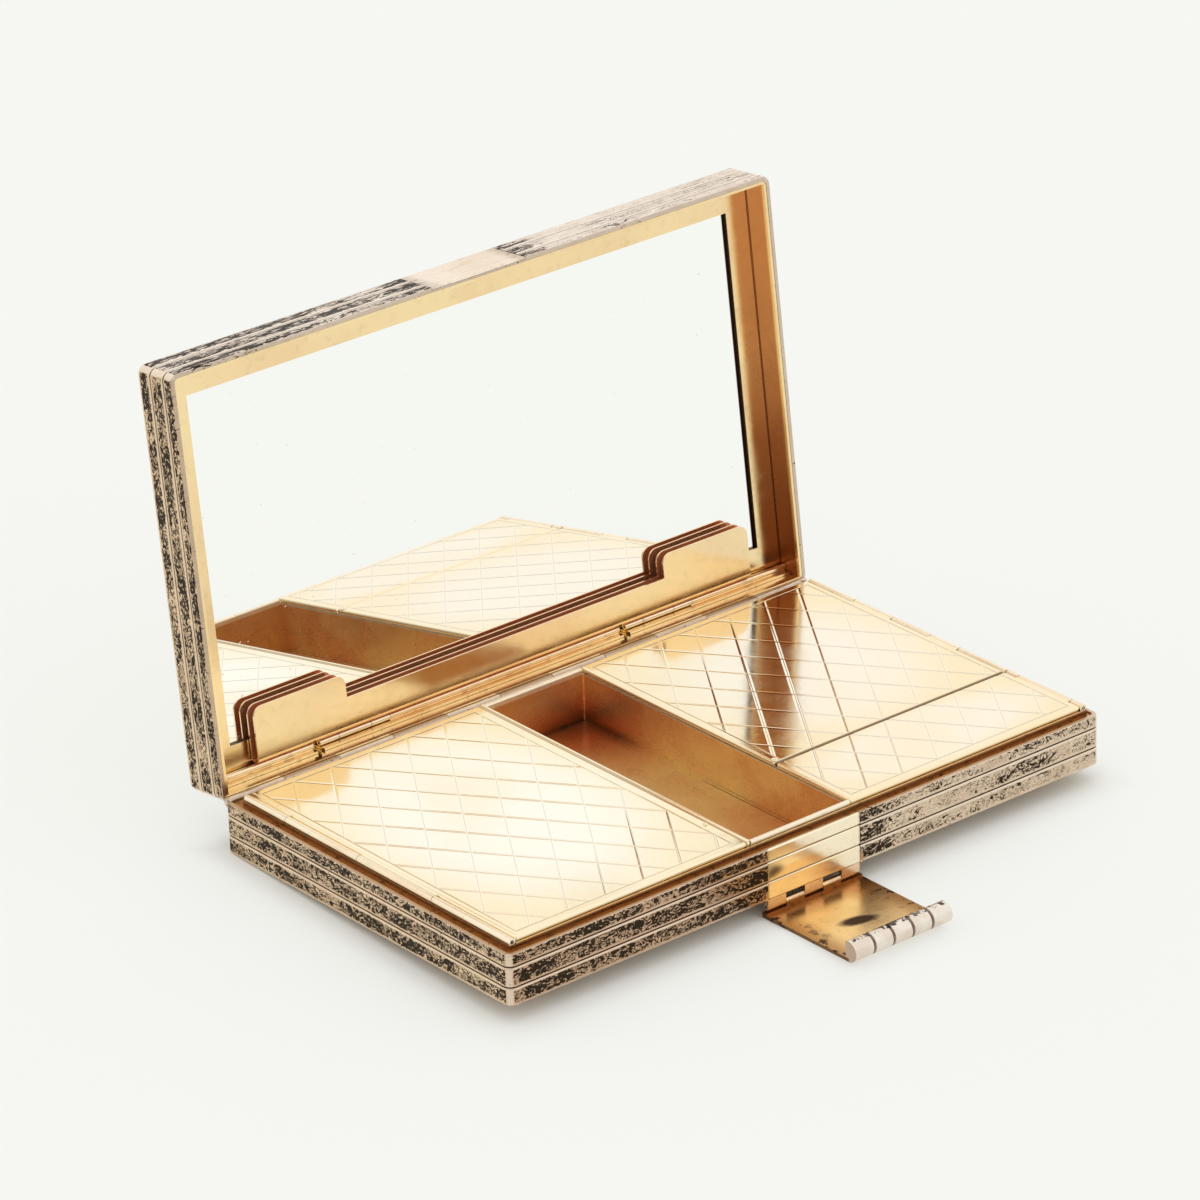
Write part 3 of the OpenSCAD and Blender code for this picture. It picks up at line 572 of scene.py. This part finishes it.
def upperCatchSoil(tree, x, y, z, streak):
    soil = add(tree, catch["upperSoil"], times(tree, streak, catch["upperStreaks"]))
    return times(tree, ramp(tree, away(tree, x), *catch["upperEnds"]), soil)


# latch flap: dark spot, worn edges and the darker zone by the hinge
flap = {"spot": (-0.4, -53.2), "spotSize": (4.7, 2.0), "spotTurn": 0.2, "spotFray": 0.22,
        "spotFade": (0.62, 1.18), "spotShare": 0.97, "edges": (5.9, 11.4), "edgeSoil": 0.25,
        "edgeStreak": (0.0, 0.35), "edgeStreaks": 0.75, "sides": (11.34, 11.37), "sideSoil": 0.75,
        "gap": (-44.2, -41.2), "gapSoil": 0.25, "gapStreaks": 0.4, "hingeZone": (-46.5, -41.5),
        "deepSides": (6.0, 11.4), "deepSideShare": 0.8, "cornerAcross": (2.0, 9.0),
        "cornerBack": (-54.0, -44.0)}


def flapSpot(tree, x, y, streak):
    dx = less(tree, x, flap["spot"][0])
    dy = add(tree, less(tree, y, flap["spot"][1]), times(tree, dx, flap["spotTurn"]))
    along = times(tree, dx, 1 / flap["spotSize"][0])
    across = times(tree, dy, 1 / flap["spotSize"][1])
    radius = maths(tree, "SQRT", add(tree, times(tree, along, along), times(tree, across, across)))
    radius = add(tree, radius, times(tree, less(tree, 0.5, streak), flap["spotFray"]))
    return fall(tree, radius, *flap["spotFade"], 1.0)


def flapSoil(tree, x, y, z, streak):
    absX = away(tree, x)
    patchy = ramp(tree, streak, *flap["edgeStreak"], 0.0, flap["edgeStreaks"])
    worn = times(tree, ramp(tree, absX, *flap["edges"]), add(tree, flap["edgeSoil"], patchy))
    sides = ramp(tree, absX, *flap["sides"], 0.0, flap["sideSoil"])
    gap = times(tree, ramp(tree, y, *flap["gap"]),
                add(tree, flap["gapSoil"], times(tree, streak, flap["gapStreaks"])))
    return most(tree, times(tree, flapSpot(tree, x, y, streak), flap["spotShare"]), worn, sides, gap)


def flapDeep(tree, x, y, z):
    side = ramp(tree, away(tree, x), *flap["deepSides"], 0.0, flap["deepSideShare"])
    corner = times(tree, ramp(tree, x, *flap["cornerAcross"]), ramp(tree, y, *flap["cornerBack"]))
    return most(tree, ramp(tree, y, *flap["hingeZone"]), side, corner)


# engraved lattice of the compartment lids, in millimetres and degrees; the lids' pale colours are
# lightened with a painted sheen that fades to deeper gold towards their sides, and each cut gets a
# painted highlight beside it and painted shade in its core
lattice = {"pitch": 7.25, "slopes": (-53.0, 57.0), "through": ((-66.03, 21.8), (-42.6, 32.75)),
           "width": 0.46, "coreFrom": 0.03, "core": 0.12, "depth": 0.075, "border": 1.75,
           "borderWidth": 0.22, "topFace": (11.9, 11.99), "left": (1.0, 0.975, 0.86),
           "right": (0.97, 0.89, 0.74), "deep": (0.97, 0.76, 0.40), "sheenFalloffFrom": (0.1, 1.3),
           "sheenFalloff": 0.58, "cloud": (0.42, 0.68), "cloudShare": 0.3, "cloudScale": 22,
           "cloudShape": (3, 0.5, 0.5),
           # shine is a painted highlight beside each cut, cut is painted shade in its core
           "shine": (1.0, 0.98, 0.90), "shineShare": 0.35, "cut": (0.62, 0.43, 0.23),
           "cutShare": 0.46, "rough": 0.085, "smudgeScale": 40.0, "smudgeRough": 0.08,
           "bump": 0.1, "bumpDepth": 0.03}

# painted shade: a dark line beside the left lid's bead, and along the split between the two right lids;
# how far the lattice's border is moved there, so it stops at the bead and runs on over the split
lidLines = {"besideBead": 0.95, "besideFade": (0.15, 0.36), "besideShare": 0.75,
            "beside": (0.45, 0.24, 0.10), "split": (0.16, 0.07, 0.03), "splitShare": 0.85,
            "rearEdge": (0.12, 0.42), "frontEdge": (0.1, 0.03),
            "borders": {"left_lid": ("Right", -1.3), "rear_lid": ("Front", -9.0),
                        "front_lid": ("Back", 9.0)}}


def makeLatticeGroup():
    edges = [("Left", 0.0), ("Right", 1.0), ("Front", 0.0), ("Back", 1.0)]
    group, given, made = newGroup(
        "engravedLattice",
        [(label, "NodeSocketFloat", value) for label, value in [("X", 0.0), ("Y", 0.0)] + edges],
        ["Groove", "Core"])
    x, y = given["X"], given["Y"]
    gap = lattice["pitch"]
    for slope, (px, py) in zip(lattice["slopes"], lattice["through"]):
        normal = math.radians(slope + 90)
        nx, ny = math.cos(normal), math.sin(normal)
        along = add(group, times(group, x, nx), times(group, y, ny), -(px * nx + py * ny))
        cell = times(group, along, 1 / lattice["pitch"])
        off = away(group, cell, maths(group, "ROUND", cell))
        gap = least(group, times(group, off, lattice["pitch"]), gap)
    nearest = least(group, less(group, x, given["Left"]), less(group, given["Right"], x),
                    less(group, y, given["Front"]), less(group, given["Back"], y))
    inside = maths(group, "GREATER_THAN", nearest, lattice["border"])
    border = away(group, nearest, lattice["border"])
    core = (lattice["coreFrom"], lattice["core"])
    groove = most(group, times(group, inside, fall(group, gap, 0.0, lattice["width"])),
                  fall(group, border, 0.0, lattice["borderWidth"]))
    thin = most(group, times(group, inside, fall(group, gap, *core)), fall(group, border, *core))
    group.links.new(groove, made.inputs["Groove"])
    group.links.new(thin, made.inputs["Core"])
    return group


latticeGroup = makeLatticeGroup()


def lidLine(tree, nodeName, x, y, low, high):
    if nodeName == "left_lid":
        besideBead = away(tree, x, high.x - lidLines["besideBead"])
        return fall(tree, besideBead, *lidLines["besideFade"], lidLines["besideShare"]), "beside"
    if nodeName == "rear_lid":
        near, far = (low.y + step for step in lidLines["rearEdge"])
        return fall(tree, y, near, far, lidLines["splitShare"]), "split"
    near, far = (high.y - step for step in lidLines["frontEdge"])
    return ramp(tree, y, near, far, 0.0, lidLines["splitShare"]), "split"


def makeEngraved(name, nodeName, base):
    material, tree, shader = newMaterial(name)
    place, x, y, z = shutPlace(tree, False)
    low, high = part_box(nodeName)
    low, high = low / mm, high / mm
    limits = {"Left": low.x, "Right": high.x, "Front": low.y, "Back": high.y}
    side, step = lidLines["borders"][nodeName]
    limits[side] += step
    cuts = useGroup(tree, latticeGroup, {"X": x, "Y": y, **limits})
    top = ramp(tree, z, *lattice["topFace"])
    smudge = useGroup(tree, smudgeGroup, {"Vector": place, "Scale": lattice["smudgeScale"]})
    cloud = noise(tree, place, lattice["cloudScale"], *lattice["cloudShape"])
    # painted sheen: pale in the middle of each lid, deeper gold towards its sides, together with tone
    # that differs at random
    centre, half = (low + high) / 2, (high - low) / 2
    across = times(tree, less(tree, x, centre.x), 1 / half.x)
    along = times(tree, less(tree, y, centre.y), 1 / half.y)
    radius = add(tree, times(tree, across, across), times(tree, along, along))
    deep = most(tree, ramp(tree, cloud, *lattice["cloud"], 0.0, lattice["cloudShare"]),
                ramp(tree, radius, *lattice["sheenFalloffFrom"], 0.0, lattice["sheenFalloff"]))
    colour = mixColour(tree, deep, base, lattice["deep"])
    # painted highlight along each cut and painted shade in its core
    for mask, tone in (("Groove", "shine"), ("Core", "cut")):
        factor = times(tree, cuts[mask], top, lattice[tone + "Share"])
        colour = mixColour(tree, factor, colour, lattice[tone])
    # painted shade beside the left lid's bead and along the split between the right lids
    line, tone = lidLine(tree, nodeName, x, y, low, high)
    colour = mixColour(tree, line, colour, lidLines[tone])
    rough = add(tree, lattice["rough"], times(tree, smudge["Smudge"], lattice["smudgeRough"]))
    cut = bumpy(tree, 1.0, lattice["depth"], less(tree, 1.0, cuts["Groove"]))
    normal = bumpy(tree, lattice["bump"], lattice["bumpDepth"],
                   add(tree, smudge["Scratch"], cloud), cut)
    finishMetal(tree, shader, colour, rough, normal=normal)
    return material


# ribbed roll: pale silver, black dashes along its top, brown end faces
roll = {"pale": (0.86, 0.79, 0.70), "pink": (0.80, 0.68, 0.57), "groove": (0.14, 0.09, 0.06),
        "end": (0.48, 0.33, 0.24), "halfWidth": 11.4, "segments": 5, "endBand": (1.0, 0.9),
        "ring": (0.16, 0.42), "ringShare": 0.9, "dashStretch": (1, 0.5, 0.5), "dashScale": 900,
        "dashShape": (4, 0.7, 0.8), "dashBack": (-64.0, -63.45), "dashTop": (-1.2, -0.6),
        "dash": (0.5, 0.53), "dashShare": 0.9, "cloudScale": 160, "cloudShape": (3, 0.6, 0.5),
        "cloud": (0.42, 0.62), "endFace": (0.03, 0.01), "endShare": 0.85,
        "rough": 0.26, "dashRough": 0.2}


def makeRoll():
    material, tree, shader = newMaterial("paleRibbedRoll")
    place, x, y, z = shutPlace(tree, False)
    segment = 2 * roll["halfWidth"] / roll["segments"]
    cell = times(tree, add(tree, x, roll["halfWidth"]), 1 / segment)
    gap = times(tree, away(tree, cell, maths(tree, "ROUND", cell)), segment)
    absX = away(tree, x)
    bandFrom, bandTo = (roll["halfWidth"] - step for step in roll["endBand"])
    faceFrom, faceTo = (roll["halfWidth"] - step for step in roll["endFace"])
    ring = times(tree, fall(tree, gap, *roll["ring"]), fall(tree, absX, bandFrom, bandTo))
    dashes = noise(tree, stretch(tree, place, roll["dashStretch"]), roll["dashScale"],
                   *roll["dashShape"])
    topLine = times(tree, ramp(tree, y, *roll["dashBack"]), ramp(tree, z, *roll["dashTop"]))
    dash = ramp(tree, times(tree, topLine, dashes), *roll["dash"])
    cloudy = noise(tree, place, roll["cloudScale"], *roll["cloudShape"])
    cloud = ramp(tree, cloudy, *roll["cloud"])
    end = ramp(tree, absX, faceFrom, faceTo, 0.0, roll["endShare"])
    colour = mixColour(tree, cloud, roll["pale"], roll["pink"])
    colour = mixColour(tree, times(tree, ring, roll["ringShare"]), colour, roll["groove"])
    colour = mixColour(tree, times(tree, dash, roll["dashShare"]), colour, silver["tarnish"])
    colour = mixColour(tree, end, colour, roll["end"])
    finishMetal(tree, shader, colour, add(tree, roll["rough"], times(tree, dash, roll["dashRough"])))
    return material


# mirror with a few pale specks where its silvering has gone, and painted shade along its right edge for
# the dark gap seen through the glass
mirror = {"silvering": (0.995, 1.0, 0.99), "speck": (0.80, 0.77, 0.72), "rough": 0.012,
          "speckRough": 0.35, "speckScale": 1100, "speckShape": (2, 0.5), "specks": (0.75, 0.78),
          "corner": (-40.0, -64.0), "cornerLow": (-10.0, 25.0), "cornerShare": 0.07,
          "edge": (0.06, 0.022, 0.010), "edgeShadeFrom": (62.45, 62.65), "edgeShare": 0.95}


def makeMirror():
    material, tree, shader = newMaterial("silveredGlass")
    place, x, y = shutPlace(tree, True)[:3]
    corner = times(tree, ramp(tree, x, *mirror["corner"]), ramp(tree, y, *mirror["cornerLow"]),
                   mirror["cornerShare"])
    level = add(tree, noise(tree, place, mirror["speckScale"], *mirror["speckShape"]), corner)
    specks = ramp(tree, level, *mirror["specks"])
    # painted shade along the mirror's right edge
    edge = ramp(tree, x, *mirror["edgeShadeFrom"], 0.0, mirror["edgeShare"])
    colour = mixColour(tree, specks, mirror["silvering"], mirror["speck"])
    colour = mixColour(tree, edge, colour, mirror["edge"])
    rough = add(tree, mirror["rough"], times(tree, specks, mirror["speckRough"]))
    finishMetal(tree, shader, colour, rough)
    return material


# thin board behind the mirror
board = {"scale": 300, "shape": (5, 0.7), "dark": (0.3, 0.24, 0.18), "light": (0.45, 0.38, 0.3),
         "rough": 0.8}


def makeBoard():
    material, tree, shader = newMaterial("backingBoard")
    grain = noise(tree, shutPlace(tree, True)[0], board["scale"], *board["shape"])
    colour = mixColour(tree, grain, board["dark"], board["light"])
    finishMetal(tree, shader, colour, board["rough"], 0.0)
    return material


# wire of the hinge pins
wire = {"scale": 1500, "shape": (3, 0.6), "worn": (0.45, 0.6), "bright": (0.5, 0.46, 0.4),
        "dark": (0.08, 0.06, 0.05), "rough": 0.35}


def makePin():
    material, tree, shader = newMaterial("drawnWire")
    patchy = noise(tree, shutPlace(tree, False)[0], wire["scale"], *wire["shape"])
    colour = mixColour(tree, ramp(tree, patchy, *wire["worn"]), wire["bright"], wire["dark"])
    finishMetal(tree, shader, colour, wire["rough"])
    return material


def paint(material, *names):
    for name in names:
        if not nodes[name].material_slots:
            nodes[name].data.materials.append(material)
        for slot in nodes[name].material_slots:
            slot.material = material


paint(makeGilt("polishedGilding", "plain"), *nodes)
paint(makeSilver("tarnishedSilverLower", False), "base_case", "base_hinge_knuckles")
paint(makeSilver("tarnishedSilverUpper", True), "lid_case", "lid_hinge_knuckles")
paint(makeGilt("giltLining", "lining", True, liningShadeAndJoint, liningWallShade), "mirror_frame")
paint(makeGilt("giltComb", "comb", True, None, combInsideShade, metal=combMetalShare), "comb_holder")
paint(makeGilt("giltBearer", "bearer", True), "comb_bearer")
paint(makeGilt("giltUpperCatch", "catchUpper", True, upperCatchSoil), "lid_catch_plate")
paint(makeGilt("giltLowerCatch", "catch", False, catchSoil, catchPaintedReflection), "base_catch_plate")
paint(makeGilt("giltFrame", "frame", False, ledgeSoil, ledgeDeep), "inner_frame")
paint(makeGilt("wornWellGilding", "well", False, wellFootShadeAndSeam, wellDeep, wellPale, well["metal"]),
      "centre_well")
paint(makeGilt("copperyKnuckles", "knuckle"), "latch_flap_knuckles", "latch_base_knuckles")
paint(makeGilt("wornFlapGilding", "flap", False, flapSoil, flapDeep), "latch_flap")
paint(makeRoll(), "latch_roll")
paint(makeEngraved("engravedLeftLid", "left_lid", lattice["left"]), "left_lid")
paint(makeEngraved("engravedRearLid", "rear_lid", lattice["right"]), "rear_lid")
paint(makeEngraved("engravedFrontLid", "front_lid", lattice["right"]), "front_lid")
paint(makeMirror(), "mirror_glass")
paint(makeBoard(), "mirror_backing")
paint(makePin(), "main_hinge_pin", "left_lid_pin", "right_lid_pin", "latch_pin", "comb_pins")
print("materials made")

# solder run up the well's right back corner, in millimetres
solder = {"corner": (10.28, 36.18), "from": 1.35, "to": 10.7, "radius": 0.28, "wobble": 0.16,
          "lumps": 700.0, "seed": 4, "steps": 40, "sides": 14}


def makeSolderTree(material):
    tree = bpy.data.node_groups.new("solderRun", "GeometryNodeTree")
    face = tree.interface
    face.new_socket(name="Geometry", in_out="INPUT", socket_type="NodeSocketGeometry")
    sockets = {}
    for label, kind in (("Radius", "NodeSocketFloat"), ("Wobble", "NodeSocketFloat"),
                        ("Lumps", "NodeSocketFloat"), ("Seed", "NodeSocketFloat"),
                        ("Steps", "NodeSocketInt")):
        sockets[label] = face.new_socket(name=label, in_out="INPUT", socket_type=kind).identifier
    face.new_socket(name="Geometry", in_out="OUTPUT", socket_type="NodeSocketGeometry")
    given = tree.nodes.new("NodeGroupInput").outputs
    made = tree.nodes.new("NodeGroupOutput")
    x, y = (v * mm for v in solder["corner"])
    line = addNode(tree, "GeometryNodeCurvePrimitiveLine",
                   {"Start": (x, y, solder["from"] * mm), "End": (x, y, solder["to"] * mm)})
    fine = addNode(tree, "GeometryNodeResampleCurve",
                   {"Curve": line.outputs[0], "Count": given["Steps"]})
    ring = addNode(tree, "GeometryNodeCurvePrimitiveCircle",
                   {"Resolution": solder["sides"], "Radius": given["Radius"]})
    tube = addNode(tree, "GeometryNodeCurveToMesh",
                   {"Curve": fine.outputs[0], "Profile Curve": ring.outputs[0], "Fill Caps": True})
    lumps = addNode(tree, "ShaderNodeTexNoise", {"W": given["Seed"], "Scale": given["Lumps"]},
                    noise_dimensions="4D")
    push = times(tree, less(tree, lumps.outputs[0], 0.5), given["Wobble"], 2.0)
    normal = tree.nodes.new("GeometryNodeInputNormal")
    offset = addNode(tree, "ShaderNodeVectorMath", {0: normal.outputs[0], "Scale": push},
                     operation="SCALE")
    moved = addNode(tree, "GeometryNodeSetPosition",
                    {"Geometry": tube.outputs[0], "Offset": offset.outputs[0]})
    real = addNode(tree, "GeometryNodeRealizeInstances", {0: moved.outputs[0]})
    painted = addNode(tree, "GeometryNodeSetMaterial",
                      {"Geometry": real.outputs[0], "Material": material})
    tree.links.new(painted.outputs[0], made.inputs[0])
    return tree, sockets


def makeSolder():
    tree, sockets = makeSolderTree(makeGilt("pinkSolder", "solder"))
    start = bpy.data.objects.new("solderStart", bpy.data.meshes.new("solderStart"))
    bpy.context.scene.collection.objects.link(start)
    modifier = start.modifiers.new("solderRun", "NODES")
    modifier.node_group = tree
    for label, value in (("Radius", solder["radius"] * mm), ("Wobble", solder["wobble"] * mm),
                         ("Lumps", solder["lumps"]), ("Seed", float(solder["seed"])),
                         ("Steps", solder["steps"])):
        modifier[sockets[label]] = value
    shape = start.evaluated_get(bpy.context.evaluated_depsgraph_get())
    mesh = bpy.data.meshes.new_from_object(shape)
    mesh.name = "wellSolder"
    bpy.data.objects.remove(start)
    run = bpy.data.objects.new("wellSolder", mesh)
    bpy.context.scene.collection.objects.link(run)
    for face in mesh.polygons:
        face.use_smooth = True
    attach(run, "base")


makeSolder()
print("solder run made")

# table under the flap's hinge edge and the rear lower edge, in millimetres, with a glow for the camera
# and for reflections that stops under the case:
# painted light that lightens the floor's shadows, stronger towards the right
table = {"rearY": 40.7, "flapY": -39.7, "flapZ": -3.62, "half": 4000,
         "colour": (0.945, 0.955, 0.925), "cloudy": 0.995, "cloudScale": 40,
         "cloudShape": (3, 0.55), "rough": 0.7, "shown": (0.92, 0.93, 0.89),
         "paintedLightShare": (0.62, 0.76), "paintedLightAcross": (20.0, 80.0), "underLength": 70,
         "underDepth": 41, "underFade": (-1.5, 7)}


def makeTable():
    slope = -table["flapZ"] / (table["rearY"] - table["flapY"])
    corners = []
    for sx, sy in ((-1, -1), (1, -1), (1, 1), (-1, 1)):
        y = sy * table["half"]
        corners.append((sx * table["half"] * mm, y * mm, (y - table["rearY"]) * slope * mm))
    mesh = bpy.data.meshes.new("table")
    mesh.from_pydata(corners, [], [(0, 1, 2, 3)])
    top = bpy.data.objects.new("table", mesh)
    bpy.context.scene.collection.objects.link(top)
    material, tree, shader = newMaterial("paleTable")
    place, x, y = shutPlace(tree, False)[:3]
    cloud = noise(tree, place, table["cloudScale"], *table["cloudShape"])
    cloudy = tuple(c * table["cloudy"] for c in table["colour"])
    colour = mixColour(tree, cloud, table["colour"], cloudy)
    finishMetal(tree, shader, colour, table["rough"], 0.0)
    shader.inputs["Specular IOR Level"].default_value = 0.0
    path = tree.nodes.new("ShaderNodeLightPath").outputs
    seen = most(tree, path["Is Camera Ray"], path["Is Glossy Ray"], path["Is Transmission Ray"])
    outside = most(tree, less(tree, away(tree, x), table["underLength"]),
                   less(tree, away(tree, y), table["underDepth"]))
    # painted light lifting the floor's shadows, fading out under the case and rising towards the right
    share = times(tree, seen, ramp(tree, outside, *table["underFade"]),
                  ramp(tree, x, *table["paintedLightAcross"], *table["paintedLightShare"]))
    pale = addNode(tree, "ShaderNodeEmission", {"Color": table["shown"], "Strength": 1.0})
    mix = addNode(tree, "ShaderNodeMixShader", {0: share, 1: shader.outputs[0], 2: pale.outputs[0]})
    output = next(node for node in tree.nodes if node.type == "OUTPUT_MATERIAL")
    tree.links.new(mix.outputs[0], output.inputs[0])
    mesh.materials.append(material)


makeTable()

# pale dome, dimmer on the camera's side and a little towards the horizon
light = {"dome": 1.03, "tint": (1, 0.995, 0.98), "shown": (0.913, 0.922, 0.885),
         "dimTowards": (-0.60, -0.74, 0.09), "dimRange": (0.72, 0.96), "dimTo": 0.42,
         "horizon": 0.9, "horizonHeight": 0.3}


def makeWorld():
    world = bpy.data.worlds.new("paleDome")
    bpy.context.scene.world = world
    world.use_nodes = True
    tree = world.node_tree
    tree.nodes.clear()
    output = tree.nodes.new("ShaderNodeOutputWorld")
    direction = tree.nodes.new("ShaderNodeTexCoord").outputs["Generated"]
    facing = addNode(tree, "ShaderNodeVectorMath",
                     {0: direction, 1: Vector(light["dimTowards"]).normalized()},
                     operation="DOT_PRODUCT").outputs["Value"]
    height = addNode(tree, "ShaderNodeSeparateXYZ", {0: direction}).outputs["Z"]
    strength = times(tree, ramp(tree, facing, *light["dimRange"], light["dome"],
                                light["dome"] * light["dimTo"]),
                     ramp(tree, height, 0.0, light["horizonHeight"], light["horizon"], 1.0))
    path = tree.nodes.new("ShaderNodeLightPath")
    lit = addNode(tree, "ShaderNodeBackground", {"Color": light["tint"], "Strength": strength})
    shown = addNode(tree, "ShaderNodeBackground", {"Color": light["shown"], "Strength": 1.0})
    mix = addNode(tree, "ShaderNodeMixShader", {0: path.outputs["Is Camera Ray"],
                                                1: lit.outputs[0], 2: shown.outputs[0]})
    tree.links.new(mix.outputs[0], output.inputs[0])


makeWorld()
bpy.context.scene.view_settings.view_transform = "Standard"
print("table and light ready")
